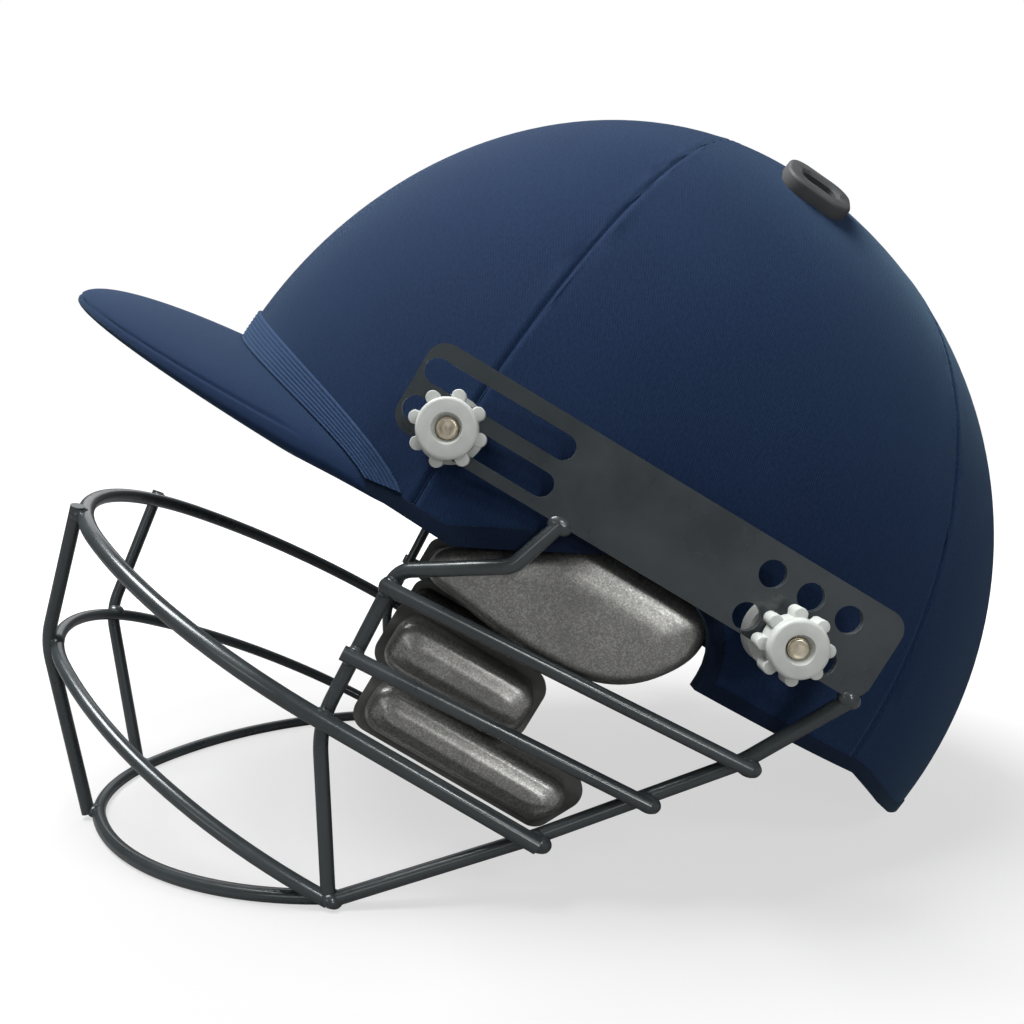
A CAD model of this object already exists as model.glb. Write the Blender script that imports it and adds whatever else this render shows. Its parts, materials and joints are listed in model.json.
import json
import math

import bmesh
import bpy
from mathutils import Matrix, Vector

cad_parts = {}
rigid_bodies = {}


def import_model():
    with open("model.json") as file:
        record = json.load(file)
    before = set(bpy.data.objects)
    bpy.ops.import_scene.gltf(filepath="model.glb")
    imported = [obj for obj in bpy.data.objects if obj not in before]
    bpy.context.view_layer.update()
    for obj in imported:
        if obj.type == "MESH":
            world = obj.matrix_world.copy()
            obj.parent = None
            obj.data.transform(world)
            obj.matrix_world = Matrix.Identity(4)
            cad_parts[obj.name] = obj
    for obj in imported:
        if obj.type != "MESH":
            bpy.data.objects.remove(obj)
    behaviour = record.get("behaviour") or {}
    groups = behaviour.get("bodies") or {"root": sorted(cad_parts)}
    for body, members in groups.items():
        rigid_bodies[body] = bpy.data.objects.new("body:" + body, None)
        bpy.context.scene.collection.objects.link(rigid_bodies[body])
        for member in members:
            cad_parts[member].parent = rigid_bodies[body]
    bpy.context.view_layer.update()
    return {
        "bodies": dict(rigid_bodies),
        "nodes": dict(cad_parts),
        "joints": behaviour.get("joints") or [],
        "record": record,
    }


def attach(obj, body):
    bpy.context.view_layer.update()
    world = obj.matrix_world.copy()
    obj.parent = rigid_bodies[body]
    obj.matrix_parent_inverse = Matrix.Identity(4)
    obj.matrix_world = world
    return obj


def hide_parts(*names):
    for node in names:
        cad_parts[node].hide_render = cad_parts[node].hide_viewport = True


for item in list(bpy.data.objects):
    bpy.data.objects.remove(item, do_unlink=True)
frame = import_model()
scene = bpy.context.scene
mm = 0.001
hair = 0.001 * mm               # a distance too small to see
overrun = 10 * mm               # how far a cutting tool goes past what it cuts

# The helmet is modelled as worn, front to -Y and the rim at height zero, then tipped back and set down
worn = {"pitch": 31.0, "rise": 81.36336 * mm, "shift": 8.32838 * mm}
tipBack = Matrix.Translation((0, worn["shift"], worn["rise"])) @ Matrix.Rotation(
    math.radians(-worn["pitch"]), 4, "X"
)

# Local frame of the left side: X back along the plate, Y up, Z outwards from its inner face
plateSeat = {"x": 92.5 * mm, "splay": 2.0}
sinSplay = math.sin(math.radians(plateSeat["splay"]))
cosSplay = math.cos(math.radians(plateSeat["splay"]))
sideFrame = Matrix((
    (sinSplay, 0, cosSplay, plateSeat["x"]),
    (cosSplay, 0, -sinSplay, 0),
    (0, 1, 0, 0),
    (0, 0, 0, 1),
))


def onlySelect(piece):
    # One piece selected and active, in object mode.
    if bpy.context.mode != "OBJECT":
        bpy.ops.object.mode_set(mode="OBJECT")
    bpy.ops.object.select_all(action="DESELECT")
    piece.select_set(True)
    bpy.context.view_layer.objects.active = piece
    return piece


def openMesh(piece, kind="VERT"):
    onlySelect(piece)
    bpy.ops.object.mode_set(mode="EDIT")
    bpy.ops.mesh.select_mode(type=kind)
    bpy.ops.mesh.select_all(action="SELECT")
    return piece


def closeMesh():
    bpy.ops.object.mode_set(mode="OBJECT")


def pickVerts(piece, test):
    bpy.ops.mesh.select_mode(type="VERT")
    bpy.ops.mesh.select_all(action="DESELECT")
    grid = bmesh.from_edit_mesh(piece.data)
    for vert in grid.verts:
        if test(vert.co):
            vert.select_set(True)
    grid.select_flush(True)
    bmesh.update_edit_mesh(piece.data)


def pickFaces(piece, test):
    bpy.ops.mesh.select_mode(type="FACE")
    bpy.ops.mesh.select_all(action="DESELECT")
    grid = bmesh.from_edit_mesh(piece.data)
    for face in grid.faces:
        if test(face.calc_center_median(), face.normal):
            face.select_set(True)
    bmesh.update_edit_mesh(piece.data)


def applyModifier(piece, kind, **values):
    onlySelect(piece)
    modifier = piece.modifiers.new(kind.title(), kind)
    for name, value in values.items():
        setattr(modifier, name, value)
    bpy.ops.object.modifier_apply(modifier=modifier.name)
    return piece


def cutAway(piece, *tools):
    for tool in tools:
        applyModifier(piece, "BOOLEAN", operation="DIFFERENCE", object=tool, solver="EXACT")
    return piece


def dropTools(*tools):
    for tool in tools:
        bpy.data.objects.remove(tool, do_unlink=True)


def thicken(piece, wall, offset=-1):
    return applyModifier(piece, "SOLIDIFY", thickness=wall, offset=offset, use_even_offset=True)


def soften(piece, width, segments=3, angle=35):
    return applyModifier(
        piece, "BEVEL", width=width, segments=segments, limit_method="ANGLE",
        angle_limit=math.radians(angle), use_clamp_overlap=True,
    )


def smoothLook(piece, angle=40):
    onlySelect(piece)
    bpy.ops.object.shade_smooth_by_angle(angle=math.radians(angle))
    return piece


def place(piece, matrix):
    # Moves the piece and keeps its place in its mesh.
    onlySelect(piece)
    piece.matrix_world = matrix
    bpy.ops.object.transform_apply(location=True, rotation=True, scale=True)
    return piece


def copyPiece(piece, name):
    twin = piece.copy()
    twin.data = piece.data.copy()
    twin.name = name
    scene.collection.objects.link(twin)
    return twin


def mirrorPiece(piece, name):
    twin = copyPiece(piece, name)
    place(twin, Matrix.Diagonal((-1, 1, 1, 1)))
    openMesh(twin)
    bpy.ops.mesh.flip_normals()
    closeMesh()
    return twin


def joinPieces(name, pieces):
    onlySelect(pieces[0])
    for piece in pieces[1:]:
        piece.select_set(True)
    bpy.ops.object.join()
    pieces[0].name = name
    return pieces[0]


def fit(piece, body, finish, slot, *nodes):
    # Gives a finished piece its body, finish and the CAD nodes that it stands for.
    piece.data.materials.clear()
    piece.data.materials.append(finish)
    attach(piece, body)
    if nodes:
        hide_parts(*nodes)
    return piece


def roundedOutline(corners, steps=6):
    # A closed outline from (x, y, radius) corners, each radius turned into a short arc.
    outline = []
    count = len(corners)
    for index, (x, y, radius) in enumerate(corners):
        here = Vector((x, y))
        toLast = Vector(corners[index - 1][:2]) - here
        toNext = Vector(corners[(index + 1) % count][:2]) - here
        if radius <= 0:
            outline.append(tuple(here))
            continue
        half = toLast.angle(toNext) / 2
        reach = radius / math.tan(half)
        centre = here + (toLast.normalized() + toNext.normalized()).normalized() * radius / math.sin(half)
        start = here + toLast.normalized() * reach - centre
        turn = start.angle_signed(here + toNext.normalized() * reach - centre)
        for step in range(steps + 1):
            arm = start.copy()
            arm.rotate(Matrix.Rotation(-turn * step / steps, 2))
            outline.append(tuple(centre + arm))
    return outline


def flatForm(name, outline, low, high):
    # A straight-sided block over an outline in the XY plane.
    bpy.ops.object.select_all(action="DESELECT")
    bpy.ops.mesh.primitive_circle_add(vertices=len(outline), radius=1, fill_type="NGON")
    piece = bpy.context.object
    piece.name = name
    for vert, (x, y) in zip(piece.data.vertices, outline):
        vert.co = (x, y, low)
    openMesh(piece, "FACE")
    bpy.ops.mesh.extrude_region_move(TRANSFORM_OT_translate={"value": (0, 0, high - low)})
    bpy.ops.mesh.select_all(action="SELECT")
    bpy.ops.mesh.normals_make_consistent(inside=False)
    closeMesh()
    return piece


# Stands an outline drawn in (back, up) across the helmet
acrossHelmet = Matrix(((0, 0, 1, 0), (1, 0, 0, 0), (0, 1, 0, 0), (0, 0, 0, 1)))


def newFinish(name):
    finish = bpy.data.materials.new(name)
    finish.use_nodes = True
    tree = finish.node_tree
    return finish, tree, tree.nodes["Principled BSDF"]


def setShader(shader, **values):
    for name, value in values.items():
        shader.inputs[name.replace("_", " ")].default_value = value


def objectPlace(tree, scale=(1, 1, 1), turn=(0, 0, 0)):
    coords = tree.nodes.new("ShaderNodeTexCoord")
    mapping = tree.nodes.new("ShaderNodeMapping")
    mapping.inputs["Scale"].default_value = scale
    mapping.inputs["Rotation"].default_value = turn
    tree.links.new(coords.outputs["Object"], mapping.inputs["Vector"])
    return mapping.outputs["Vector"]


def clothPlace(tree, turn=0.0):
    # Metres along the cloth, from the piece's own map, turned in its plane.
    coords = tree.nodes.new("ShaderNodeUVMap")
    coords.uv_map = "cloth"
    mapping = tree.nodes.new("ShaderNodeMapping")
    mapping.inputs["Rotation"].default_value = (0, 0, turn)
    tree.links.new(coords.outputs["UV"], mapping.inputs["Vector"])
    return mapping.outputs["Vector"]


def noisePattern(tree, where, scale, detail=2.0, roughness=0.5):
    node = tree.nodes.new("ShaderNodeTexNoise")
    node.inputs["Scale"].default_value = scale
    node.inputs["Detail"].default_value = detail
    node.inputs["Roughness"].default_value = roughness
    tree.links.new(where, node.inputs["Vector"])
    return node.outputs["Fac"]


def cellPattern(tree, where, scale, feature="F1", output="Distance"):
    node = tree.nodes.new("ShaderNodeTexVoronoi")
    node.feature = feature
    node.inputs["Scale"].default_value = scale
    tree.links.new(where, node.inputs["Vector"])
    return node.outputs[output]


def wavePattern(tree, where, scale, direction="X", distortion=0.0, detailScale=1.0):
    node = tree.nodes.new("ShaderNodeTexWave")
    node.bands_direction = direction
    node.inputs["Scale"].default_value = scale
    node.inputs["Distortion"].default_value = distortion
    node.inputs["Detail Scale"].default_value = detailScale
    tree.links.new(where, node.inputs["Vector"])
    return node.outputs["Fac"]


def colourRamp(tree, factor, stops):
    ramp = tree.nodes.new("ShaderNodeValToRGB")
    elements = ramp.color_ramp.elements
    while len(elements) < len(stops):
        elements.new(0.5)
    for element, (position, colour) in zip(elements, stops):
        element.position = position
        element.color = (*colour, 1)
    tree.links.new(factor, ramp.inputs["Fac"])
    return ramp.outputs["Color"]


def mixColours(tree, factor, first, second, blend="MIX"):
    node = tree.nodes.new("ShaderNodeMix")
    node.data_type = "RGBA"
    node.blend_type = blend
    if isinstance(factor, (int, float)):
        node.inputs["Factor"].default_value = factor
    else:
        tree.links.new(factor, node.inputs["Factor"])
    for socket, value in (("A", first), ("B", second)):
        target = [item for item in node.inputs if item.name == socket and item.type == "RGBA"][0]
        if isinstance(value, tuple):
            target.default_value = (*value, 1)
        else:
            tree.links.new(value, target)
    return [item for item in node.outputs if item.type == "RGBA"][0]


def mathValue(tree, operation, first, second=0.0):
    node = tree.nodes.new("ShaderNodeMath")
    node.operation = operation
    for index, value in enumerate((first, second)):
        if isinstance(value, (int, float)):
            node.inputs[index].default_value = value
        else:
            tree.links.new(value, node.inputs[index])
    return node.outputs["Value"]


def weighted(tree, *terms):
    # The sum of some patterns, each times its share.
    total = 0.0
    for pattern, share in terms:
        total = mathValue(tree, "ADD", total, mathValue(tree, "MULTIPLY", pattern, share))
    return total


def mapRange(tree, value, fromLow, fromHigh, toLow, toHigh):
    node = tree.nodes.new("ShaderNodeMapRange")
    tree.links.new(value, node.inputs["Value"])
    node.inputs["From Min"].default_value = fromLow
    node.inputs["From Max"].default_value = fromHigh
    node.inputs["To Min"].default_value = toLow
    node.inputs["To Max"].default_value = toHigh
    return node.outputs["Result"]


def addBump(tree, shader, height, strength, distance):
    node = tree.nodes.new("ShaderNodeBump")
    node.inputs["Strength"].default_value = strength
    node.inputs["Distance"].default_value = distance
    tree.links.new(height, node.inputs["Height"])
    tree.links.new(node.outputs["Normal"], shader.inputs["Normal"])


knit = {
    "rowTurn": 0.55, "rowScale": 0.32, "crossTurn": -0.35, "crossScale": 0.2, "fibreScale": 0.45,
    "driftScale": 11.0, "roughness": 0.85, "tint": (0.5, 0.78, 1.0, 1.0), "specular": 0.12, "depth": 0.2 * mm,
}


def knitFinish(name, dark, light, loop=0.48 * mm, sheen=0.16, bump=0.4):
    # Fine stretched knit: slanting rows of small loops, paler fibres and soft larger shading.
    finish, tree, shader = newFinish(name)
    rows = wavePattern(tree, clothPlace(tree, knit["rowTurn"]), knit["rowScale"] / loop, "X", 0.6, 2.0)
    cross = wavePattern(tree, clothPlace(tree, knit["crossTurn"]), knit["crossScale"] / loop, "Y", 0.9, 2.0)
    loops = weighted(tree, (rows, 0.65), (cross, 0.35))
    drift = noisePattern(tree, objectPlace(tree), knit["driftScale"], 3.0, 0.6)
    fibre = noisePattern(tree, clothPlace(tree), knit["fibreScale"] / loop, 4.0, 0.7)
    level = weighted(tree, (loops, 0.3), (fibre, 0.5), (drift, 0.3))
    middle = tuple((a + b) / 2 for a, b in zip(dark, light))
    tone = colourRamp(tree, level, [(0.25, dark), (0.58, middle), (0.9, light)])
    tree.links.new(tone, shader.inputs["Base Color"])
    setShader(shader, Roughness=knit["roughness"], Specular_IOR_Level=knit["specular"])
    setShader(shader, Sheen_Weight=sheen, Sheen_Roughness=0.4, Sheen_Tint=knit["tint"])
    addBump(tree, shader, loops, bump, knit["depth"])
    return finish


paint = {
    "patchScale": 60.0, "grainScale": 1500.0, "peelScale": 700.0, "roughness": (0.24, 0.36),
    "depth": 0.1 * mm, "grainTone": (0.075, 0.088, 0.092), "rubbedTone": (0.24, 0.265, 0.275),
    "rubbedLeast": 0.3,
}


def paintedSteel(name, dark, light, wornEdges=0.0):
    # Satin powder coat with a fine orange-peel skin, faint rubbed patches and, where asked, paler edges.
    finish, tree, shader = newFinish(name)
    where = objectPlace(tree)
    patches = noisePattern(tree, where, paint["patchScale"], 4.0, 0.6)
    grains = noisePattern(tree, where, paint["grainScale"])
    tone = colourRamp(tree, patches, [(0.3, dark), (0.7, light)])
    tone = mixColours(tree, mathValue(tree, "MULTIPLY", grains, 0.2), tone, paint["grainTone"])
    if wornEdges:
        edge = tree.nodes.new("ShaderNodeAttribute")
        edge.attribute_name = "edgeWear"
        wear = mapRange(tree, patches, 0.35, 0.65, paint["rubbedLeast"], wornEdges)
        rubbed = mathValue(tree, "MULTIPLY", edge.outputs["Fac"], wear)
        tone = mixColours(tree, rubbed, tone, paint["rubbedTone"])
    tree.links.new(tone, shader.inputs["Base Color"])
    tree.links.new(mapRange(tree, patches, 0.3, 0.7, *paint["roughness"]), shader.inputs["Roughness"])
    setShader(shader, Metallic=0.25, Coat_Weight=0.45, Coat_Roughness=0.16)
    peel = weighted(tree, (noisePattern(tree, where, paint["peelScale"]), 1.0), (grains, 0.3))
    addBump(tree, shader, peel, 0.18, paint["depth"])
    return finish


silver = {
    "flakeScale": 2600.0, "wearScale": 90.0, "grainScale": 1100.0, "roughness": (0.3, 0.42),
    "depth": 0.1 * mm,
    "tones": [(0.2, (0.2, 0.2, 0.19)), (0.5, (0.3, 0.298, 0.285)), (0.85, (0.54, 0.535, 0.51))],
}


def silverSkin():
    # Metallic silver paint on moulded foam: tiny flakes of differing brightness.
    finish, tree, shader = newFinish("silverSkin")
    where = objectPlace(tree)
    flakes = tree.nodes.new("ShaderNodeSeparateColor")
    tree.links.new(cellPattern(tree, where, silver["flakeScale"], output="Color"), flakes.inputs["Color"])
    wear = noisePattern(tree, where, silver["wearScale"], 4.0, 0.6)
    level = weighted(tree, (flakes.outputs["Red"], 0.4), (wear, 0.5))
    tree.links.new(colourRamp(tree, level, silver["tones"]), shader.inputs["Base Color"])
    roughness = mapRange(tree, flakes.outputs["Green"], 0, 1, *silver["roughness"])
    tree.links.new(roughness, shader.inputs["Roughness"])
    setShader(shader, Metallic=0.75, Coat_Weight=0.5, Coat_Roughness=0.22)
    grain = noisePattern(tree, where, silver["grainScale"], 3.0, 0.6)
    addBump(tree, shader, weighted(tree, (grain, 1.0), (flakes.outputs["Blue"], 0.3)), 0.16, silver["depth"])
    return finish


plastic = {"cloudScale": 120.0, "scatter": (1.5 * mm, 1.3 * mm, 1.0 * mm), "depth": 0.12 * mm}


def mouldedPlastic(name, dark, light, roughness=(0.35, 0.5), grain=900, bump=0.12, subsurface=0.0):
    finish, tree, shader = newFinish(name)
    where = objectPlace(tree)
    cloud = noisePattern(tree, where, plastic["cloudScale"], 4.0, 0.6)
    tone = colourRamp(tree, cloud, [(0.3, dark), (0.7, light)])
    tree.links.new(tone, shader.inputs["Base Color"])
    tree.links.new(mapRange(tree, cloud, 0.3, 0.7, *roughness), shader.inputs["Roughness"])
    setShader(shader, Subsurface_Weight=subsurface, Subsurface_Radius=plastic["scatter"])
    addBump(tree, shader, noisePattern(tree, where, grain, 3.0, 0.6), bump, plastic["depth"])
    return finish


metal = {"stainScale": 350.0, "roughness": (0.25, 0.45), "grainScale": 800.0, "depth": 0.08 * mm}


def turnedMetal(name, dark, light):
    finish, tree, shader = newFinish(name)
    where = objectPlace(tree)
    stains = noisePattern(tree, where, metal["stainScale"], 4.0, 0.65)
    tree.links.new(colourRamp(tree, stains, [(0.3, dark), (0.7, light)]), shader.inputs["Base Color"])
    tree.links.new(mapRange(tree, stains, 0.3, 0.7, *metal["roughness"]), shader.inputs["Roughness"])
    setShader(shader, Metallic=1.0)
    addBump(tree, shader, noisePattern(tree, where, metal["grainScale"]), 0.15, metal["depth"])
    return finish


beads = {"seamShare": 0.12, "seamTone": 0.5, "roughness": 0.7, "depth": 0.2 * mm}


def beadFoam(name, dark, light, bead=2.6 * mm):
    # Moulded foam whose skin shows its beads.
    finish, tree, shader = newFinish(name)
    where = objectPlace(tree)
    edges = cellPattern(tree, where, 1 / bead, "DISTANCE_TO_EDGE")
    grey = tree.nodes.new("ShaderNodeSeparateColor")
    tree.links.new(cellPattern(tree, where, 1 / bead, output="Color"), grey.inputs["Color"])
    tone = colourRamp(tree, grey.outputs["Red"], [(0.1, dark), (0.9, light)])
    seam = mapRange(tree, edges, 0.0, beads["seamShare"], 0.0, 1.0)
    tone = mixColours(tree, seam, tuple(value * beads["seamTone"] for value in dark), tone)
    tree.links.new(tone, shader.inputs["Base Color"])
    setShader(shader, Roughness=beads["roughness"])
    addBump(tree, shader, seam, 0.35, beads["depth"])
    return finish


tape = {"thread": 0.9 * mm, "ribTurn": 0.7, "ribScale": 0.32, "threadScale": 0.5, "depth": 0.25 * mm}


def woven(name, dark, light):
    # Woven tape: diagonal ribs crossed by finer threads.
    finish, tree, shader = newFinish(name)
    ribPlace = objectPlace(tree, turn=(0, 0, tape["ribTurn"]))
    ribs = wavePattern(tree, ribPlace, tape["ribScale"] / tape["thread"], "X")
    threads = wavePattern(tree, objectPlace(tree), tape["threadScale"] / tape["thread"], "Z")
    weave = mathValue(tree, "MAXIMUM", ribs, mathValue(tree, "MULTIPLY", threads, 0.8))
    tree.links.new(colourRamp(tree, weave, [(0.2, dark), (0.9, light)]), shader.inputs["Base Color"])
    setShader(shader, Roughness=0.75, Sheen_Weight=0.2)
    addBump(tree, shader, weave, 0.5, tape["depth"])
    return finish


navyKnit = knitFinish("navyKnit", (0.0014, 0.006, 0.026), (0.0155, 0.039, 0.1))
navyEdge = knitFinish("navyEdge", (0.001, 0.0036, 0.013), (0.0085, 0.018, 0.045), loop=0.42 * mm)
ribbedKnit = knitFinish("ribbedKnit", (0.008, 0.02, 0.056), (0.042, 0.082, 0.172), loop=0.4 * mm, bump=0.3)
darkKnit = knitFinish("darkKnit", (0.008, 0.009, 0.012), (0.03, 0.033, 0.042), loop=0.7 * mm, sheen=0.2)
steelCoat = paintedSteel("steelCoat", (0.034, 0.042, 0.046), (0.05, 0.06, 0.065))
plateCoat = paintedSteel("plateCoat", (0.03, 0.039, 0.044), (0.046, 0.057, 0.063), 0.7)
silverPaint = silverSkin()
knobWhite = mouldedPlastic("knobWhite", (0.48, 0.5, 0.478), (0.6, 0.62, 0.593), (0.36, 0.5), 1000, 0.14, 0.05)
ventRubber = mouldedPlastic(
    "ventRubber", (0.04, 0.042, 0.045), (0.066, 0.069, 0.074), (0.5, 0.68), 1400, 0.25,
)
shellPlastic = mouldedPlastic("shellPlastic", (0.02, 0.022, 0.028), (0.035, 0.038, 0.045), (0.4, 0.55), 700)
carrierPlastic = mouldedPlastic(
    "carrierPlastic", (0.07, 0.07, 0.067), (0.12, 0.12, 0.115), (0.38, 0.55), 900, 0.2,
)
cupSkin = mouldedPlastic("cupSkin", (0.015, 0.016, 0.018), (0.035, 0.036, 0.04), (0.5, 0.7), 500, 0.4)
linerFoamSkin = beadFoam("linerFoamSkin", (0.016, 0.017, 0.02), (0.04, 0.042, 0.047))
softFoamSkin = beadFoam("softFoamSkin", (0.02, 0.02, 0.022), (0.045, 0.045, 0.05), 0.8 * mm)
brassTurned = turnedMetal("brassTurned", (0.62, 0.54, 0.4), (0.9, 0.82, 0.66))
washerSteel = turnedMetal("washerSteel", (0.4, 0.4, 0.4), (0.62, 0.62, 0.63))
strapWeave = woven("strapWeave", (0.01, 0.014, 0.03), (0.04, 0.05, 0.09))
print("finishes ready")


dome = {
    "halfWidth": 91.0 * mm, "front": 125.8 * mm, "rear": 146.0 * mm, "rise": 145.2 * mm,
    "skirt": 7.5 * mm, "cloth": 1.2 * mm, "shell": 3.0 * mm, "fine": (176, 96), "coarse": (112, 64),
}
linerWalls = {"side": 7.0 * mm, "front": 14.0 * mm, "rear": 18.0 * mm, "crown": 14.0 * mm}
rim = {
    "binding": 3.0 * mm, "napeStart": 94.0 * mm, "napeEnd": 122.0 * mm, "drop": 7.67 * mm, "bend": 16.0 * mm,
    "earFront": -35.0 * mm, "earRear": 35.5 * mm, "earTop": 19.0 * mm, "earCorner": 16.0 * mm,
    "far": 400.0 * mm,
}


def domeSizes(inset):
    return [dome[key] - inset for key in ("halfWidth", "front", "rear", "rise")]


def liningSizes(inset):
    depth = dome["cloth"] + dome["shell"] + inset
    return [
        dome["halfWidth"] - depth - linerWalls["side"], dome["front"] - depth - linerWalls["front"],
        dome["rear"] - depth - linerWalls["rear"], dome["rise"] - depth - linerWalls["crown"],
    ]


def eggForm(name, sizes, grid):
    # A ball drawn out to the dome's half width, front, rear and rise.
    halfWidth, front, rear, rise = sizes
    around, rings = grid
    bpy.ops.object.select_all(action="DESELECT")
    bpy.ops.mesh.primitive_uv_sphere_add(segments=around, ring_count=rings, radius=1)
    piece = bpy.context.object
    piece.name = name
    openMesh(piece)
    bpy.ops.transform.resize(value=(halfWidth, front, rise), center_override=(0, 0, 0))
    pickVerts(piece, lambda spot: spot.y > hair)
    bpy.ops.transform.resize(value=(1, rear / front, 1), center_override=(0, 0, 0))
    bpy.ops.mesh.select_all(action="SELECT")
    bpy.ops.transform.translate(value=(0, 0, dome["skirt"]))
    closeMesh()
    return piece


def rimTools(lift):
    # Two blocks: all below the rim line, and the ear arch.
    far, napeLevel = rim["far"], lift - rim["drop"]
    low = [
        (-far, lift, 0), (rim["napeStart"], lift, rim["bend"]), (rim["napeEnd"], napeLevel, rim["bend"]),
        (far, napeLevel, 0), (far, -far, 0), (-far, -far, 0),
    ]
    front, rear, top = rim["earFront"] - lift, rim["earRear"] + lift, rim["earTop"] + lift
    corner = rim["earCorner"] + lift
    arch = [(front, lift, 0), (-lift, top, corner), (rear, top, corner), (rear, -far, 0), (front, -far, 0)]
    tools = []
    for name, corners in (("rimTool", low), ("archTool", arch)):
        tools.append(place(flatForm(name, roundedOutline(corners, 8), -far, far), acrossHelmet))
    return tools


seams = {
    "front": (-13.0 * mm, -0.42), "rear": (27.0 * mm, 0.87),
    "rings": [(0.0, 0.42), (0.5, 0.18), (1.1, -0.16), (2.2, -0.1)], "ringGap": 0.02 * mm,
    "thickness": 1.0 * mm, "skinLevel": 0.985, "skinFacing": 0.6,
}


def seamPlane(which, side):
    # A point on a seam's upright plane and its level normal, on one side of the helmet.
    start, slope = seams[which]
    normal = Vector((-slope * side, 1, 0)).normalized()
    return Vector((0, start, 0)), normal


def domeLevel(spot, sizes):
    # One on the dome, less inside it and more outside.
    halfWidth, front, rear, rise = sizes
    reach = front if spot.y < 0 else rear
    up = spot.z - dome["skirt"]
    return math.sqrt((spot.x / halfWidth) ** 2 + (spot.y / reach) ** 2 + (up / rise) ** 2)


def outwards(spot):
    # The direction square to the dome.
    halfWidth, front, rear, rise = domeSizes(0)
    reach = front if spot.y < 0 else rear
    up = spot.z - dome["skirt"]
    return Vector((spot.x / halfWidth ** 2, spot.y / reach ** 2, up / rise ** 2)).normalized()


def layCloth(piece, rule):
    # Writes the cloth's own map, in metres, from each corner's place.
    layer = piece.data.uv_layers.new(name="cloth")
    for loop in piece.data.loops:
        layer.data[loop.index].uv = rule(piece.data.vertices[loop.vertex_index].co)
    return piece


def domeCloth(spot):
    # Round the helmet's long axis, and along it.
    up = spot.z - dome["skirt"]
    across = math.atan2(spot.x, up) * dome["halfWidth"]
    return across, math.atan2(spot.y, math.hypot(spot.x, up)) * dome["front"]


def buildCover():
    # The dome's skin with its sewn seams pressed in, open below.
    sizes = domeSizes(0)
    whole = eggForm("clothCover", sizes, dome["fine"])
    openMesh(whole)
    for which in ("front", "rear"):
        for side in (1, -1):
            point, normal = seamPlane(which, side)
            for distance, _ in seams["rings"]:
                for sign in ((1, -1) if distance else (1,)):
                    pickFaces(whole, lambda centre, facing: centre.x * side > -hair)
                    bpy.ops.mesh.bisect(plane_co=point + normal * distance * sign * mm, plane_no=normal)
    for distance, depth in seams["rings"]:
        pickVerts(whole, lambda spot: any(
            abs(gap - distance * mm) < seams["ringGap"] for gap in seamGaps(spot)
        ))
        bpy.ops.transform.shrink_fatten(value=-depth * mm)
    closeMesh()
    tools = rimTools(rim["binding"])
    cutAway(whole, *tools)
    dropTools(*tools)
    openMesh(whole, "FACE")
    # Only the skin stays, without the faces that the cuts left inside.
    pickFaces(whole, lambda centre, normal: (
        domeLevel(centre, sizes) < seams["skinLevel"] or normal.dot(outwards(centre)) < seams["skinFacing"]
    ))
    bpy.ops.mesh.delete(type="FACE")
    closeMesh()
    return whole


def seamGaps(spot):
    side = 1 if spot.x >= 0 else -1
    gaps = []
    for which in ("front", "rear"):
        point, normal = seamPlane(which, side)
        gaps.append(abs((spot - point).dot(normal)))
    return gaps


def panelOf(centre):
    side = 1 if centre.x >= 0 else -1
    planes = seamPlane("front", side), seamPlane("rear", side)
    ahead, back = [(centre - point).dot(normal) for point, normal in planes]
    if ahead < 0:
        return "Front"
    if back > 0:
        return "Rear"
    return "Left" if side > 0 else "Right"


cover = buildCover()
panels = []
for word in ("Front", "Rear", "Left", "Right"):
    panel = copyPiece(cover, "cover" + word)
    openMesh(panel, "FACE")
    pickFaces(panel, lambda centre, normal: panelOf(centre) != word)
    bpy.ops.mesh.delete(type="FACE")
    closeMesh()
    thicken(panel, seams["thickness"])
    layCloth(panel, domeCloth)
    smoothLook(place(panel, tipBack), 50)
    fit(panel, "helmet", navyKnit, "navy_cloth", "cover_" + word.lower())
    panels.append(panel)
dropTools(cover)
print("panels:", [(panel.name, len(panel.data.polygons)) for panel in panels])


def mappedSlab(name, around, across, placeOf, cloth=(0.1, 0.1)):
    # A closed slab, one by one by one, divided in a grid and laid out by a rule from (u, v, w).
    bpy.ops.object.select_all(action="DESELECT")
    middle = (0.5, 0.5, 0)
    bpy.ops.mesh.primitive_grid_add(x_subdivisions=around, y_subdivisions=across, size=1, location=middle)
    bpy.ops.object.transform_apply(location=True)
    piece = bpy.context.object
    piece.name = name
    openMesh(piece, "FACE")
    bpy.ops.mesh.extrude_region_move(TRANSFORM_OT_translate={"value": (0, 0, 1)})
    closeMesh()
    layCloth(piece, lambda spot: (spot.x * cloth[0], spot.y * cloth[1]))
    for vert in piece.data.vertices:
        vert.co = placeOf(*vert.co)
    openMesh(piece)
    bpy.ops.mesh.remove_doubles(threshold=2 * hair)
    bpy.ops.mesh.select_all(action="SELECT")
    bpy.ops.mesh.normals_make_consistent(inside=False)
    closeMesh()
    return piece


def halve(low, high, test):
    # The place between two values where a falling test turns negative.
    for _ in range(40):
        middle = (low + high) / 2
        if test(middle) > 0:
            low = middle
        else:
            high = middle
    return (low + high) / 2


def offDome(spot, offset):
    # Moves a spot that lies on the dome off it, square to its face.
    return spot + outwards(spot) * offset


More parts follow.
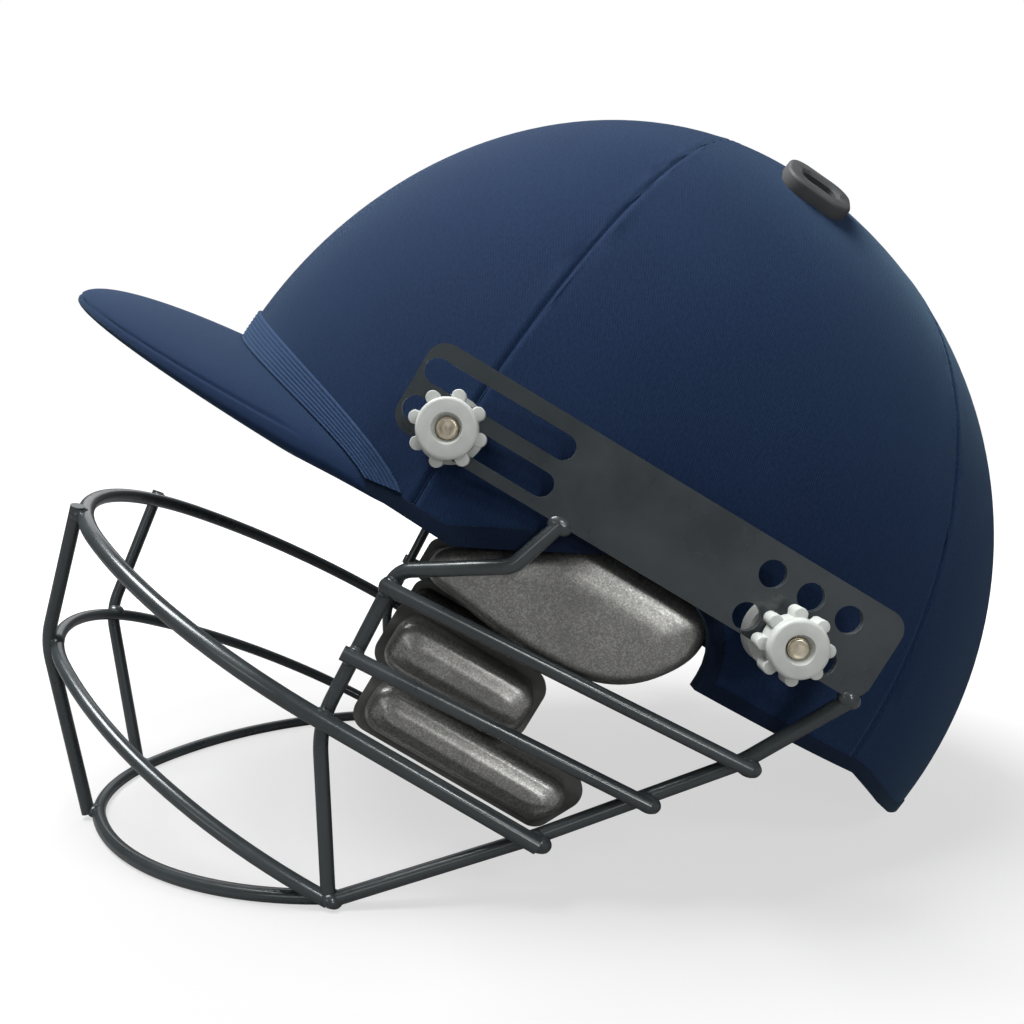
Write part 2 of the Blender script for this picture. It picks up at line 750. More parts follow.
peakForm = {
    "centre": -60.0 * mm, "halfWidth": 80.0 * mm, "reach": 116.0 * mm, "rise": 18.0 * mm, "low": -2.2 * mm,
    "wall": 7.2 * mm, "cloth": 1.2 * mm, "board": 2.5 * mm, "foam": 2.3 * mm, "end": 88.0, "clothEnd": 92.5,
    "edge": 3.5 * mm, "seam": 7.5 * mm, "seamDepth": 0.55 * mm, "seamWidth": 1.1 * mm, "bury": 0.4 * mm,
    "endFade": 14.0, "endShare": 0.15, "edgeShare": 0.45, "edgeRowShare": 0.3, "foamGapShare": 0.03,
}


def capPlace(azimuth, height, sides):
    # A place on the peak's cap: azimuth from straight ahead, height from its level middle.
    halfWidth, reach, rise = sides
    return Vector((
        halfWidth * math.cos(height) * math.sin(azimuth),
        peakForm["centre"] - reach * math.cos(height) * math.cos(azimuth),
        rise * math.sin(height),
    ))


def rootHeight(azimuth, sides, inset=0.0):
    # Where the cap meets the dome.
    sizes = domeSizes(inset)
    return halve(0.0, math.pi / 2, lambda height: domeLevel(capPlace(azimuth, height, sides), sizes) - 1)


def peakPlace(u, v, w):
    azimuth = math.radians((2 * u - 1) * peakForm["clothEnd"])
    sides = [peakForm[key] for key in ("halfWidth", "reach", "rise")]
    # The edge rises to the rim at its ends.
    fade = min(1.0, max(0.0, (peakForm["clothEnd"] - abs(math.degrees(azimuth))) / peakForm["endFade"]))
    drop = peakForm["low"] * (peakForm["endShare"] + (1 - peakForm["endShare"]) * fade)
    lowest = math.asin(drop / sides[2])
    length = (capPlace(azimuth, rootHeight(azimuth, sides), sides) - capPlace(azimuth, lowest, sides)).length
    edge = min(peakForm["edge"], peakForm["edgeShare"] * length)
    turning = peakForm["edgeRowShare"]          # the rows that go round the padded edge
    if v < turning:
        angle = v / turning * math.pi / 2
        along = edge * (1 - math.cos(angle))
        top = edge * (1 - math.sin(angle))
    else:
        along = edge + (v - turning) / (1 - turning) * (length - edge)
        top = 0.0
    gap = abs(along - peakForm["seam"]) / peakForm["seamWidth"]
    if gap < 1 and length > 2 * peakForm["seam"]:
        top += peakForm["seamDepth"] * (0.5 + 0.5 * math.cos(math.pi * gap))
    bottom = peakForm["wall"] - top
    depth = bottom + (top - bottom) * w
    sides = [side - depth for side in sides]
    lowest = math.asin(drop / sides[2])
    root = rootHeight(azimuth, sides, peakForm["bury"])
    height = lowest + (root - lowest) * along / length
    return capPlace(azimuth, height, sides)


peak = mappedSlab("peakCloth", 112, 60, peakPlace, (0.3, 0.08))
smoothLook(place(peak, tipBack), 60)
fit(peak, "helmet", navyKnit, "navy_cloth", "peak_cover_top", "peak_cover_under", "peak_binding")


def peakFoamPlace(u, v, w):
    azimuth = math.radians((2 * u - 1) * peakForm["end"])
    depth = peakForm["cloth"] + peakForm["board"] + (1 - w) * peakForm["foam"]
    sides = [peakForm[key] - depth for key in ("halfWidth", "reach", "rise")]
    gap = peakForm["foamGapShare"]
    return capPlace(azimuth, rootHeight(azimuth, sides, dome["cloth"]) * (gap + (1 - gap) * v), sides)


peakFoam = place(mappedSlab("peakFoam", 64, 20, peakFoamPlace), tipBack)
fit(smoothLook(peakFoam, 40), "helmet", softFoamSkin, "foam", "peak_foam")
print("peak:", len(peak.data.polygons))

bandForm = {
    "side": 4.0 * mm, "front": 11.0 * mm, "wall": 0.9 * mm, "ribs": 8, "ribDepth": 0.22 * mm,
    "proud": 0.05 * mm, "ends": (1.3, 2.0), "lengthShare": 0.985, "hemShare": 0.35, "hemRowShare": 0.001,
}


def bandPlace(u, v, w):
    sides = [
        peakForm["halfWidth"] + bandForm["side"] * v, peakForm["reach"] + bandForm["front"] * v,
        peakForm["rise"] + bandForm["front"] * v,
    ]
    sizes = domeSizes(0)
    limit = halve(*bandForm["ends"], lambda azimuth: domeLevel(capPlace(azimuth, 0.0, sides), sizes) - 1)
    azimuth = (2 * u - 1) * limit * bandForm["lengthShare"]
    rib = 0.5 - 0.5 * math.cos(2 * math.pi * v * bandForm["ribs"])
    hem = 1.0 if bandForm["hemRowShare"] < v < 1 - bandForm["hemRowShare"] else bandForm["hemShare"]
    offset = (bandForm["wall"] - bandForm["ribDepth"] * (1 - rib)) * w * hem + bandForm["proud"]
    return offDome(capPlace(azimuth, rootHeight(azimuth, sides), sides), offset)


band = place(mappedSlab("foreheadBand", 180, 48, bandPlace, (0.24, 0.012)), tipBack)
fit(smoothLook(band, 60), "helmet", ribbedKnit, "ribbed_band", "forehead_band")
print("forehead band:", len(band.data.polygons))

binding = {"width": 4.4 * mm, "round": 1.0 * mm, "proud": 0.35 * mm, "lap": 0.9 * mm}
rimBinding = eggForm("rimBinding", domeSizes(-binding["proud"]), dome["fine"])
hollow = eggForm("hollow", domeSizes(binding["width"]), dome["fine"])
cutAway(rimBinding, hollow)
lowTool, archTool = rimTools(rim["binding"] + binding["lap"])
applyModifier(lowTool, "BOOLEAN", operation="UNION", object=archTool, solver="EXACT")
applyModifier(rimBinding, "BOOLEAN", operation="INTERSECT", object=lowTool, solver="EXACT")
dropTools(hollow, lowTool, archTool)
tools = rimTools(0)
cutAway(rimBinding, *tools)
dropTools(*tools)
soften(rimBinding, binding["round"], 3, 50)
layCloth(rimBinding, domeCloth)
smoothLook(place(rimBinding, tipBack), 50)
fit(rimBinding, "helmet", navyEdge, "navy_binding", "rim_binding")
print("rim binding:", len(rimBinding.data.polygons))

vent = {
    "x": 39.0 * mm, "y": 5.0 * mm, "length": 22.0 * mm, "width": 20.0 * mm, "corner": 7.0 * mm,
    "holeLength": 12.0 * mm, "holeWidth": 9.0 * mm, "holeCorner": 3.5 * mm, "height": 3.3 * mm,
    "depth": 3.5 * mm, "edge": 1.0 * mm, "lip": 0.8 * mm, "mouthShares": (1.3, 1.36, 1),
    "through": 30.0 * mm, "shaftGap": 4.0 * mm, "shaftCorner": 4.5 * mm, "shaftDepth": 40.0 * mm,
}


def roundedBox(left, right, low, high, corner, steps=8):
    corners = [(left, low, corner), (right, low, corner), (right, high, corner), (left, high, corner)]
    return roundedOutline(corners, steps)


def ventOutline(length, width, corner):
    return roundedBox(-length / 2, length / 2, -width / 2, width / 2, corner)


def ventFrame():
    # On the dome over the vent's centre, with Z square to the dome and X to the rear.
    halfWidth, front, rear, rise = domeSizes(0)
    up = rise * math.sqrt(1 - (vent["x"] / halfWidth) ** 2 - (vent["y"] / rear) ** 2)
    spot = Vector((vent["x"], vent["y"], dome["skirt"] + up))
    normal = outwards(spot)
    back = (Vector((0, 1, 0)) - normal * normal.y).normalized()
    side = normal.cross(back)
    frame = Matrix((back, side, normal)).transposed().to_4x4()
    frame.translation = spot
    return frame


def buildVent(name):
    outer = ventOutline(vent["length"], vent["width"], vent["corner"])
    inner = ventOutline(vent["holeLength"], vent["holeWidth"], vent["holeCorner"])
    ring = flatForm(name, outer, -vent["depth"], vent["height"])
    soften(ring, vent["edge"], 4, 50)
    hole = flatForm("ventHole", inner, -vent["through"], vent["through"])
    cutAway(ring, hole)
    # A shallow chamfer runs round the mouth of the hole.
    mouth = flatForm("ventMouth", inner, vent["height"] - vent["lip"], vent["height"] + vent["lip"])
    pickFaces(openMesh(mouth, "FACE"), lambda centre, normal: normal.z > 0.9)
    bpy.ops.transform.resize(value=vent["mouthShares"], center_override=(0, 0, 0))
    closeMesh()
    cutAway(ring, mouth)
    dropTools(hole, mouth)
    return place(ring, ventFrame())


ventLeft = buildVent("ventLeft")
ventRight = mirrorPiece(ventLeft, "ventRight")
for ring, node in ((ventLeft, "vent_grommet_left"), (ventRight, "vent_grommet_right")):
    smoothLook(place(ring, tipBack), 40)
    fit(ring, "helmet", ventRubber, "vent_rubber", node)
print("vents:", len(ventLeft.data.polygons))

plate = {
    "front": -63.0 * mm, "rear": 69.0 * mm, "low": 18.4 * mm, "high": 41.9 * mm, "corner": 5.0 * mm,
    "wall": 2.0 * mm, "edge": 0.5 * mm, "slotFront": -59.0 * mm, "slotRear": -24.5 * mm,
    "slotWidth": 6.3 * mm, "slotLevels": (34.7 * mm, 24.5 * mm), "slotCornerGap": 0.02 * mm, "hole": 7.0 * mm,
    "columns": (34.1 * mm, 44.9 * mm, 55.7 * mm), "rows": (34.6 * mm, 22.7 * mm), "flatness": 0.9995,
}


def discOutline(radius, x=0.0, y=0.0, count=48):
    return [(x + radius * math.cos(2 * math.pi * i / count), y + radius * math.sin(2 * math.pi * i / count))
            for i in range(count)]


def buildPlate(name):
    outline = roundedBox(plate["front"], plate["rear"], plate["low"], plate["high"], plate["corner"])
    sheet = flatForm(name, outline, 0, plate["wall"])
    half = plate["slotWidth"] / 2
    corner = half - plate["slotCornerGap"]
    ends = plate["slotFront"] - half, plate["slotRear"] + half
    outlines = [roundedBox(*ends, level - half, level + half, corner, 10) for level in plate["slotLevels"]]
    for column in plate["columns"]:
        outlines += [discOutline(plate["hole"] / 2, column, row) for row in plate["rows"]]
    tools = [flatForm("opening", outline, -overrun, overrun) for outline in outlines]
    cutAway(sheet, *tools)
    dropTools(*tools)
    soften(sheet, plate["edge"], 3, 50)
    return place(sheet, sideFrame)


plateLeft = buildPlate("sidePlateLeft")
plateRight = mirrorPiece(plateLeft, "sidePlateRight")
for sheet, node in ((plateLeft, "side_plate_left"), (plateRight, "side_plate_right")):
    smoothLook(place(sheet, tipBack), 30)
    broadest = max(sheet.data.polygons, key=lambda face: face.area).normal.copy()
    wear = sheet.data.attributes.new("edgeWear", "FLOAT", "FACE")
    for face in sheet.data.polygons:
        flat = abs(face.normal.dot(broadest)) > plate["flatness"]
        face.use_smooth = not flat              # the flat faces shade flat up to their rounded edges
        wear.data[face.index].value = 0.0 if flat else 1.0
    fit(sheet, "helmet", plateCoat, "grey_steel", node)
print("side plates:", len(plateLeft.data.polygons))

knob = {
    "seat": 3.0 * mm, "height": 10.0 * mm, "foot": 6.0 * mm, "footHeight": 2.4 * mm, "radius": 7.1 * mm,
    "lobes": 8, "lobe": 1.7 * mm, "lobeReach": 7.6 * mm, "lobeTop": 7.4 * mm, "edge": 0.9 * mm,
    "bore": 2.6 * mm, "mouth": 3.6 * mm, "recessDepth": 2.3 * mm, "insert": 3.6 * mm,
    "insertHeight": 7.6 * mm, "overlap": 1.0 * mm, "ribInset": 0.3 * mm,
}
boltTip = {
    "radius": 2.3 * mm, "end": 8.5 * mm, "rise": 0.5 * mm, "overlap": 0.4 * mm, "edge": 0.3 * mm,
    "ringShares": (0.86, 0.8, 0.6), "ringDrops": (0.0, -0.12 * mm, 0.1 * mm),
}
# Back, up and the knob's turn in degrees
boltPlaces = {"front": (-49.5 * mm, 24.5 * mm, 11.0), "rear": (44.9 * mm, 22.7 * mm, 24.0)}


def lobedOutline(count=160):
    # A round body with half-round lobes standing on its rim.
    outline = []
    for index in range(count):
        angle = 2 * math.pi * index / count
        step = 2 * math.pi / knob["lobes"]
        off = (angle + step / 2) % step - step / 2
        reach = knob["radius"] - knob["ribInset"]
        across = knob["lobeReach"] * math.sin(off)
        if abs(across) < knob["lobe"]:
            reach = max(reach, knob["lobeReach"] * math.cos(off) + math.sqrt(knob["lobe"] ** 2 - across ** 2))
        outline.append((reach * math.cos(angle), reach * math.sin(angle)))
    return outline


def onPlate(back, up):
    # A frame on the spacer's end, over a bolt.
    return sideFrame @ Matrix.Translation((back, up, knob["seat"]))


def buildKnob(name, back, up, turn):
    low, high = knob["footHeight"], knob["height"]
    body = flatForm(name, discOutline(knob["radius"], count=64), low, high)
    soften(body, knob["edge"], 4, 60)
    ribs = flatForm("knobRibs", lobedOutline(), low, knob["lobeTop"])
    soften(ribs, knob["edge"], 3, 60)
    foot = flatForm("knobFoot", discOutline(knob["foot"]), 0, low + knob["overlap"])
    for part in (ribs, foot):
        applyModifier(body, "BOOLEAN", operation="UNION", object=part, solver="EXACT")
    seatBore = flatForm("knobSeat", discOutline(knob["insert"]), -overrun, knob["insertHeight"])
    bore = flatForm("knobBore", discOutline(knob["bore"]), -overrun, high + overrun)
    mouth = flatForm("knobMouth", discOutline(knob["bore"]), high - knob["recessDepth"], high)
    pickFaces(openMesh(mouth, "FACE"), lambda centre, normal: normal.z > 0.9)
    widen = knob["mouth"] / knob["bore"]
    bpy.ops.transform.resize(value=(widen, widen, 1), center_override=(0, 0, 0))
    bpy.ops.mesh.extrude_region_move(TRANSFORM_OT_translate={"value": (0, 0, knob["overlap"])})
    closeMesh()
    cutAway(body, seatBore, bore, mouth)
    dropTools(ribs, foot, seatBore, bore, mouth)
    return place(body, onPlate(back, up) @ Matrix.Rotation(math.radians(turn), 4, "Z"))


def buildBoltTip(name, back, up):
    # The rounded end of a bolt, over its plain shank.
    end = boltTip["end"]
    tip = flatForm(name, discOutline(boltTip["radius"]), end - boltTip["overlap"], end + boltTip["rise"])
    pickFaces(openMesh(tip, "FACE"), lambda centre, normal: normal.z > 0.9 and centre.z > end)
    for share, drop in zip(boltTip["ringShares"], boltTip["ringDrops"]):
        bpy.ops.mesh.extrude_region_move(TRANSFORM_OT_translate={"value": (0, 0, drop)})
        bpy.ops.transform.resize(value=(share, share, 1), center_override=(0, 0, 0))
    closeMesh()
    soften(tip, boltTip["edge"], 3, 60)
    return place(tip, onPlate(back, up))


for end, (back, up, turn) in boltPlaces.items():
    knobLeft = buildKnob(end + "KnobLeft", back, up, turn)
    knobRight = mirrorPiece(knobLeft, end + "KnobRight")
    for piece, word in ((knobLeft, "left"), (knobRight, "right")):
        smoothLook(place(piece, tipBack), 35)
        fit(piece, end + "_" + word + "_knob", knobWhite, "white_plastic", end + "_knob_" + word)
    tipLeft = buildBoltTip(end + "BoltTipLeft", back, up)
    for tip in (tipLeft, mirrorPiece(tipLeft, end + "BoltTipRight")):
        fit(smoothLook(place(tip, tipBack), 30), "helmet", brassTurned, "bolt_brass")
print("knobs ready")

# The weld beads' places and half sizes in millimetres, as on the side plate and as on the worn helmet
welds = {
    "side": [
        (-43.3, -17.6, -9.0, 2.7, 3.0, 2.6), (-42.1, -38.4, -11.6, 2.7, 3.0, 2.6),
        (-41.0, -57.5, -14.4, 3.0, 3.0, 2.6), (58.6, -10.3, -8.6, 4.0, 2.7, 2.6),
        (42.6, -32.4, -11.4, 4.0, 2.7, 2.6), (24.6, -57.3, -14.4, 4.0, 2.8, 2.6),
        (-15.6, 18.3, 1.0, 3.4, 2.4, 1.9), (66.6, 18.2, 1.0, 3.0, 2.4, 1.9),
    ],
    "worn": [
        (75.5, -13.5, -100.0, 3.1, 3.3, 2.3), (30.9, -136.0, -57.5, 2.9, 3.1, 2.7),
        (22.3, -126.5, -100.0, 2.7, 2.9, 2.1), (19.6, -89.0, -145.6, 2.6, 2.6, 2.1),
    ],
    "rippleShare": 0.0175, "rippleTurns": (2400, 2100),
}


def buildWelds():
    lumps = []
    for group, groupFrame in (("side", sideFrame), ("worn", Matrix())):
        for x, y, z, *half in welds[group]:
            bpy.ops.object.select_all(action="DESELECT")
            bpy.ops.mesh.primitive_uv_sphere_add(segments=24, ring_count=14, radius=mm)
            lump = bpy.context.object
            openMesh(lump)
            bpy.ops.transform.resize(value=half, center_override=(0, 0, 0))
            closeMesh()
            along, across = welds["rippleTurns"]
            for vert in lump.data.vertices:
                wave = math.sin(vert.co.x * along + x) * math.sin(vert.co.y * across + y)
                vert.co *= 1 + welds["rippleShare"] * wave
            lumps.append(place(lump, groupFrame @ Matrix.Translation((x * mm, y * mm, z * mm))))
    return joinPieces("guardWeldsLeft", lumps)


weldsLeft = buildWelds()
for row in (weldsLeft, mirrorPiece(weldsLeft, "guardWeldsRight")):
    fit(smoothLook(place(row, tipBack), 60), "helmet", steelCoat, "grey_steel")
print("weld beads:", len(weldsLeft.data.polygons))


# How a crowned face rises: inset as a share of what the rounded rim leaves, rise as a share of the crown
crownShares = [(0.22, 0.5), (0.25, 0.3), (0.28, 0.2)]


def moulded(name, outline, low, high, rounding, crown=0.0, steps=5):
    # A pad over an outline, its outer rim rounded in quarter-circle steps and its face slightly crowned.
    shoulder = high - crown - rounding
    pad = flatForm(name, outline, low, shoulder)
    across, up = [value for value, _ in outline], [value for _, value in outline]
    middle = ((min(across) + max(across)) / 2, (min(up) + max(up)) / 2, 0)
    half = [(max(across) - min(across)) / 2, (max(up) - min(up)) / 2]
    rings = []
    for step in range(steps):
        first, last = (math.pi / 2 * (step + k) / steps for k in (0, 1))
        rise = rounding * (math.sin(last) - math.sin(first))
        rings.append((rounding * (math.cos(first) - math.cos(last)), rise))
    if crown:
        left = half[1] - rounding
        rings += [(left * insetShare, crown * riseShare) for insetShare, riseShare in crownShares]
    pickFaces(openMesh(pad, "FACE"), lambda centre, normal: normal.z > 0.9 and centre.z > shoulder - hair)
    for inset, rise in rings:
        bpy.ops.mesh.extrude_region_move(TRANSFORM_OT_translate={"value": (0, 0, rise)})
        shrink = [1 - inset / value for value in half]
        bpy.ops.transform.resize(value=(shrink[0], shrink[1], 1), center_override=middle)
        half = [value - inset for value in half]
    closeMesh()
    return pad


# The ear pad's corners in millimetres, back and up; the cheek pads' front, rear, low, high and slant
earPad = {
    "corners": [
        (-37.5, -11.2), (-28.0, -12.2), (-13.0, -14.6), (8.5, -14.6), (23.0, -9.0), (32.5, 3.5), (33.5, 13.0),
        (30.0, 19.0), (5.0, 18.8), (-6.0, 18.8), (-12.0, 13.0), (-20.0, 7.8), (-29.0, 2.6), (-38.5, -4.0),
    ],
    "back": -18.0 * mm, "face": -4.6 * mm, "round": 6.8 * mm, "crown": 1.2 * mm,
}
cheek = {
    "upper": (-36.5 * mm, 5.0 * mm, -38.0 * mm, -22.5 * mm, 0.0), "upperFace": -12.2 * mm,
    "lower": (-33.0 * mm, 31.5 * mm, -55.5 * mm, -41.5 * mm, 9.5 * mm), "lowerFace": -15.4 * mm,
    "back": -22.4 * mm, "corner": 5.5 * mm, "round": 4.2 * mm, "crown": 0.8 * mm,
    "foamBack": -32.4 * mm, "foamFace": -24.4 * mm, "foamRound": 3.0 * mm,
}


def cheekOutline(front, rear, low, high, slant):
    corner = cheek["corner"]
    corners = [(front, low, corner), (rear - slant, low, corner), (rear, high, corner), (front, high, corner)]
    return roundedOutline(corners, 8)


def cornersCut(outline, rounds=3):
    # Cuts each corner at a quarter of its sides, again and again, until the outline runs smooth.
    for _ in range(rounds):
        finer = []
        for index, (x, y) in enumerate(outline):
            nextX, nextY = outline[(index + 1) % len(outline)]
            finer.append((0.75 * x + 0.25 * nextX, 0.75 * y + 0.25 * nextY))
            finer.append((0.25 * x + 0.75 * nextX, 0.25 * y + 0.75 * nextY))
        outline = finer
    return outline


def bothSides(left, name, finish, slot, node):
    # Fits a pad and its mirrored twin to the helmet.
    pair = left, mirrorPiece(left, name + "Right")
    for piece, word in zip(pair, ("_left", "_right")):
        fit(smoothLook(place(piece, tipBack)), "helmet", finish, slot, node + word)
    return pair


earOutline = cornersCut([(x * mm, y * mm) for x, y in earPad["corners"]])
ear = moulded("earPadLeft", earOutline, earPad["back"], earPad["face"], earPad["round"], earPad["crown"])
ear = place(ear, sideFrame)
padPieces = list(bothSides(ear, "earPad", silverPaint, "silver_pad", "ear_pad"))
for level in ("upper", "lower"):
    outline, face = cheekOutline(*cheek[level]), cheek[level + "Face"]
    pad = moulded(level + "CheekPadLeft", outline, cheek["back"], face, cheek["round"], cheek["crown"])
    pad = place(pad, sideFrame)
    padPieces += bothSides(pad, level + "CheekPad", silverPaint, "silver_pad", level + "_cheek_pad")
# The foam is moulded face up, then mirrored to face the head.
foams = []
for level in ("upper", "lower"):
    outline = cheekOutline(*cheek[level])
    foams.append(moulded(level + "Foam", outline, -cheek["foamFace"], -cheek["foamBack"], cheek["foamRound"]))
foam = joinPieces("cheekFoamLeft", foams)
place(foam, Matrix.Diagonal((1, 1, -1, 1)))
openMesh(foam)
bpy.ops.mesh.normals_make_consistent(inside=False)
closeMesh()
foam = place(foam, sideFrame)
padPieces += bothSides(foam, "cheekFoam", softFoamSkin, "foam", "cheek_foam")
print("ear and cheek pads:", len(padPieces))

linerForm = eggForm("impactLiner", domeSizes(dome["cloth"] + dome["shell"]), dome["coarse"])
lining = eggForm("lining", liningSizes(0), dome["coarse"])
tools = rimTools(rim["binding"])
shaftSides = [vent[key] + vent["shaftGap"] for key in ("holeLength", "holeWidth")]
shaftOutline = ventOutline(*shaftSides, vent["shaftCorner"])
ventShaft = place(flatForm("ventShaft", shaftOutline, -vent["shaftDepth"], vent["through"]), ventFrame())
ventShafts = [ventShaft, mirrorPiece(ventShaft, "ventShaftRight")]
cutAway(linerForm, lining, *tools, *ventShafts)
for panel, shaft in zip(panels[2:], ventShafts):
    clothShaft = place(copyPiece(shaft, "clothShaft"), tipBack)
    cutAway(panel, clothShaft)                  # the side panels' holes under the vents
    dropTools(clothShaft)
dropTools(lining, *tools, *ventShafts)
smoothLook(place(linerForm, tipBack), 35)
fit(linerForm, "helmet", linerFoamSkin, "foam", "liner")
print("liner:", len(linerForm.data.polygons))

comfort = {"wall": 5.0 * mm, "quilt": 0.9 * mm, "edgeShare": 0.12, "hemShare": 0.06}
temples = (44.0 * mm, 84.0 * mm)
# Pads that lie round the head between two angles and levels, and the crown's disc
padPatches = {
    "browPad": {"turn": (-128.0, -52.0), "levels": (6.0 * mm, 38.0 * mm), "node": "brow_pad", "cells": 4},
    "napePad": {"turn": (48.0, 132.0), "levels": (-2.0 * mm, 36.0 * mm), "node": "nape_pad", "cells": 4},
    "templePadLeft": {"turn": (-25.0, 22.0), "levels": temples, "node": "temple_pad_left", "cells": 2},
    "templePadRight": {"turn": (158.0, 205.0), "levels": temples, "node": "temple_pad_right", "cells": 2},
    "crownPad": {"radius": 38.0 * mm, "node": "crown_pad", "cells": 3},
}


def liningPlace(level, turn, depth):
    # A place on the lining at a height and an angle seen from above, moved inwards by a depth.
    halfWidth, front, rear, rise = liningSizes(depth)
    share = math.sqrt(max(0.0, 1 - ((level - dome["skirt"]) / rise) ** 2))
    reach = rear if math.sin(turn) > 0 else front
    radius = share / math.sqrt((math.cos(turn) / halfWidth) ** 2 + (math.sin(turn) / reach) ** 2)
    return Vector((radius * math.cos(turn), radius * math.sin(turn), level))


def crownPlace(x, y, depth):
    halfWidth, front, rear, rise = liningSizes(depth)
    reach = rear if y > 0 else front
    return Vector((x, y, dome["skirt"] + rise * math.sqrt(1 - (x / halfWidth) ** 2 - (y / reach) ** 2)))


def quiltDepth(u, v, cells):
    # Full thickness in the middle, rounded off at the edges and pinched along the sewn channels.
    edge = min(u, 1 - u, v, 1 - v)
    swell = math.sqrt(max(0.0, 1 - (1 - min(edge / comfort["edgeShare"], 1)) ** 2))
    channel = math.sqrt(abs(math.sin(math.pi * u * cells)))
    fullness = comfort["hemShare"] + (1 - comfort["hemShare"]) * swell
    return comfort["wall"] * fullness - comfort["quilt"] * (1 - channel) * swell


def padPlaceRule(patch):
    def wrap(u, v, w):
        low, high = patch["levels"]
        first, last = (math.radians(turn) for turn in patch["turn"])
        depth = quiltDepth(u, v, patch["cells"]) * w
        return liningPlace(low + (high - low) * v, first + (last - first) * u, depth)

    def disc(u, v, w):
        x, y = 2 * u - 1, 2 * v - 1
        depth = quiltDepth(u, v, patch["cells"]) * w
        right, back = x * math.sqrt(1 - y * y / 2), y * math.sqrt(1 - x * x / 2)
        return crownPlace(patch["radius"] * right, patch["radius"] * back, depth)

    return disc if "radius" in patch else wrap


for name, patch in padPatches.items():
    pad = place(mappedSlab(name, 72, 36, padPlaceRule(patch)), tipBack)
    fit(smoothLook(pad, 60), "helmet", darkKnit, "comfort_pad", patch["node"])
    padPieces.append(pad)
print("comfort pads ready")

strapForm = {
    "front": 46.0 * mm, "width": 16.0 * mm, "wall": 1.6 * mm, "low": 16.0 * mm,
    "hemRowShare": 0.02, "hemShare": 0.5,
}
cupForm = {
    "half": 30.0 * mm, "margin": 5.0 * mm, "wall": 2.4 * mm,
    "taperShare": 0.35, "edgeShare": 0.06, "hemShare": 0.45,
}


def archPlace(share, y, depth):
    # A place on the arch that the lining makes over the head at one distance back.
    halfWidth, front, rear, rise = liningSizes(depth)
    keep = math.sqrt(1 - (y / rear) ** 2)
    low = math.asin((strapForm["low"] - dome["skirt"]) / (rise * keep))
    angle = low + (math.pi - 2 * low) * share
    return Vector((halfWidth * keep * math.cos(angle), y, dome["skirt"] + rise * keep * math.sin(angle)))


def strapPlace(u, v, w):
    hem = 1.0 if strapForm["hemRowShare"] < v < 1 - strapForm["hemRowShare"] else strapForm["hemShare"]
    return archPlace(u, strapForm["front"] + strapForm["width"] * v, strapForm["wall"] * w * hem)


def cupPlace(u, v, w):
    # The cup hugs the strap at the crown, its rim rolled and its middle dished.
    x = (2 * u - 1) * cupForm["half"]
    reach = strapForm["width"] / 2 + cupForm["margin"]
    corner = 1 - cupForm["taperShare"] * abs(2 * u - 1) ** 4
    y = strapForm["front"] + strapForm["width"] / 2 + (2 * v - 1) * reach * corner
    edge = math.sqrt(min(min(u, 1 - u, v, 1 - v) / cupForm["edgeShare"], 1))
    fullness = cupForm["hemShare"] + (1 - cupForm["hemShare"]) * edge
    return crownPlace(x, y, strapForm["wall"] + cupForm["wall"] * w * fullness)


strap = place(mappedSlab("chinStrap", 160, 12, strapPlace), tipBack)
fit(smoothLook(strap, 50), "helmet", strapWeave, "webbing", "chin_strap")
cup = place(mappedSlab("chinCup", 48, 24, cupPlace), tipBack)
fit(smoothLook(cup, 50), "helmet", cupSkin, "cup_leather", "chin_cup")
print("strap and cup ready")

solidFinishes = {
    "grey_steel": steelCoat, "dark_plastic": carrierPlastic, "shell_plastic": shellPlastic,
    "white_plastic": knobWhite, "insert_brass": brassTurned, "bolt_brass": brassTurned,
    "washer_steel": washerSteel, "webbing": strapWeave, "foam": linerFoamSkin,
    "silver_pad": silverPaint, "vent_rubber": ventRubber,
    "navy_cloth": navyKnit, "navy_binding": navyEdge, "ribbed_band": ribbedKnit, "comfort_pad": darkKnit,
    "cup_leather": cupSkin,
}
for part in frame["record"]["subparts"]:
    node = frame["nodes"][part["node"]]
    node.data.materials.clear()
    node.data.materials.append(solidFinishes[part["material_slot"]])
print("CAD nodes finished")

# Flat cuts in metres: width, length, area, how it is held and what it lies on
for sheet in panels + [band, rimBinding, strap]:
    oneFace = sum(face.area for face in sheet.data.polygons) / 2
    print(sheet.name, "one face, square metres:", round(oneFace, 5))

view = {
    "place": (0.290, -0.01337, 0.1269), "yaw": 1.87, "pitch": 5.38, "focalPixels": 833.3, "frame": 1024,
    "sensor": 36.0, "near": 5.0 * mm,
}


def buildCamera():
    yaw, pitch = math.radians(view["yaw"]), math.radians(-view["pitch"])
    ahead = Vector((-math.cos(pitch) * math.cos(yaw), math.cos(pitch) * math.sin(yaw), math.sin(pitch)))
    right = Vector((math.sin(yaw), math.cos(yaw), 0))
    up = right.cross(ahead)
    bpy.ops.object.camera_add()
    camera = bpy.context.object
    frame = Matrix((right, up, -ahead)).transposed().to_4x4()
    frame.translation = view["place"]
    camera.matrix_world = frame
    camera.data.lens = view["focalPixels"] / view["frame"] * view["sensor"]
    camera.data.sensor_width = view["sensor"]
    camera.data.clip_start = view["near"]
    scene.camera = camera


bpy.ops.object.select_all(action="DESELECT")
buildCamera()

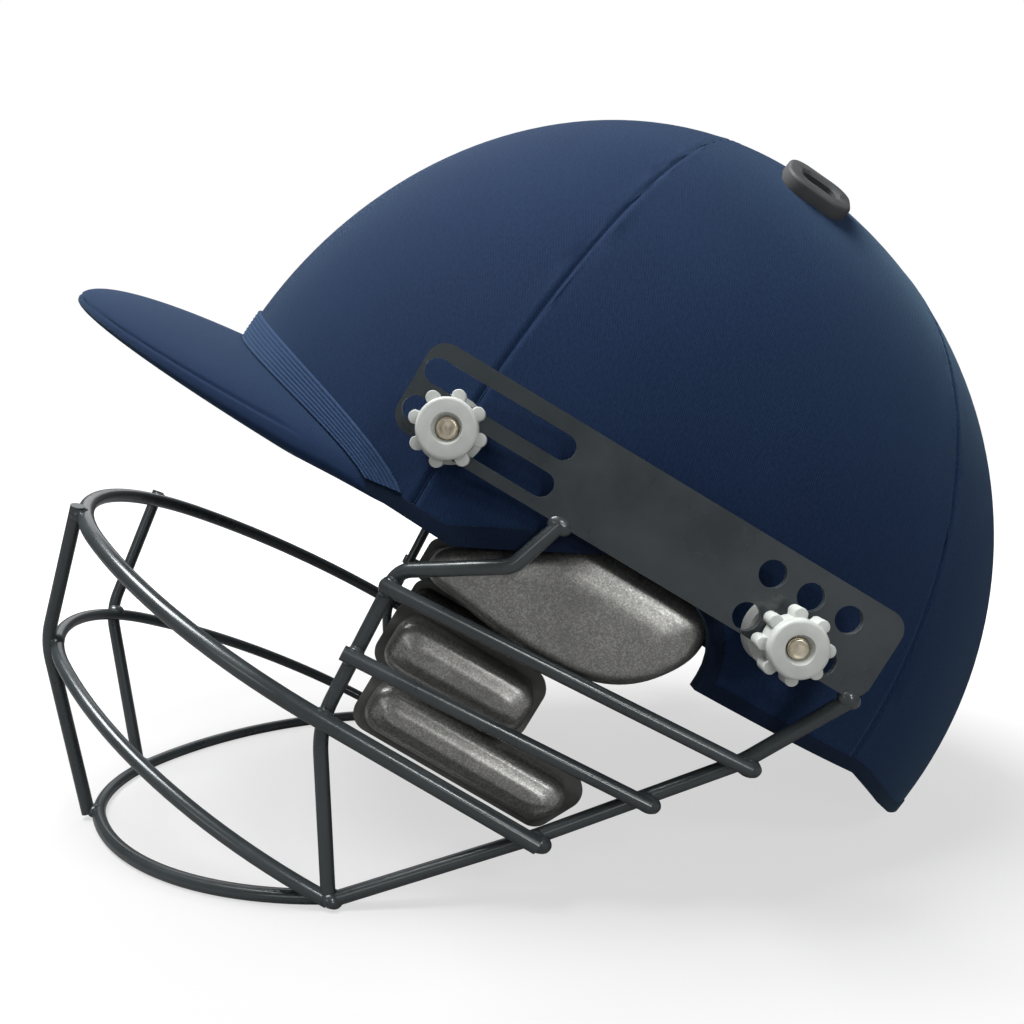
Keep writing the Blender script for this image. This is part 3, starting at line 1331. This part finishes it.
lights = {
    "key": {"place": (0.12, -0.4, 1.35), "size": 0.7, "power": 30.0},
    "front": {"place": (1.2, -0.6, 0.45), "size": 0.4, "power": 1.0},
    "low": {"place": (1.25, 0.62, 0.36), "size": 0.2, "power": 2.4},
    "rear": {"place": (0.98, 0.6, 0.82), "size": 0.22, "power": 3.6},
    "far": {"place": (-0.9, -0.3, 0.9), "size": 0.9, "power": 3.0},
}
studio = {
    "aim": (0, 0, 0.1), "floorSize": 8.0, "floorTone": 0.22, "nearGlow": 0.62, "farGlow": 1.1, "near": 0.18,
    "far": 0.42, "world": 0.12,
}


def buildLights():
    for name, lamp in lights.items():
        bpy.ops.object.light_add(type="AREA", location=lamp["place"])
        light = bpy.context.object
        light.name = name + "Light"
        light.data.size = lamp["size"]
        light.data.energy = lamp["power"]
        towards = Vector(studio["aim"]) - Vector(lamp["place"])
        light.rotation_euler = towards.to_track_quat("-Z", "Y").to_euler()


def buildFloor():
    bpy.ops.mesh.primitive_plane_add(size=studio["floorSize"], location=(0, 0, 0))
    floor = bpy.context.object
    floor.name = "floor"
    finish, tree, shader = newFinish("floorPaper")
    shader.inputs["Base Color"].default_value = (*[studio["floorTone"]] * 3, 1)
    setShader(shader, Roughness=1.0, Specular_IOR_Level=0.0, Emission_Color=(1, 1, 1, 1))
    # Seen by the camera the paper fades to white away from the helmet and keeps the shadow near it.
    path = tree.nodes.new("ShaderNodeLightPath")
    spread = tree.nodes.new("ShaderNodeVectorMath")
    spread.operation = "LENGTH"
    tree.links.new(objectPlace(tree), spread.inputs[0])
    distances, glows = (studio["near"], studio["far"]), (studio["nearGlow"], studio["farGlow"])
    fade = mapRange(tree, spread.outputs["Value"], *distances, *glows)
    glow = mathValue(tree, "MULTIPLY", path.outputs["Is Camera Ray"], fade)
    tree.links.new(glow, shader.inputs["Emission Strength"])
    floor.data.materials.append(finish)


def buildWorld():
    world = bpy.data.worlds.new("studio")
    world.use_nodes = True
    scene.world = world
    tree = world.node_tree
    background = tree.nodes["Background"]
    background.inputs["Color"].default_value = (1, 1, 1, 1)
    path = tree.nodes.new("ShaderNodeLightPath")
    seen = mathValue(tree, "MAXIMUM", path.outputs["Is Camera Ray"], path.outputs["Is Transmission Ray"])
    strength = mapRange(tree, seen, 0, 1, studio["world"], 1.0)
    tree.links.new(strength, background.inputs["Strength"])


buildLights()
buildFloor()
buildWorld()
scene.view_settings.view_transform = "Standard"
print("studio ready")
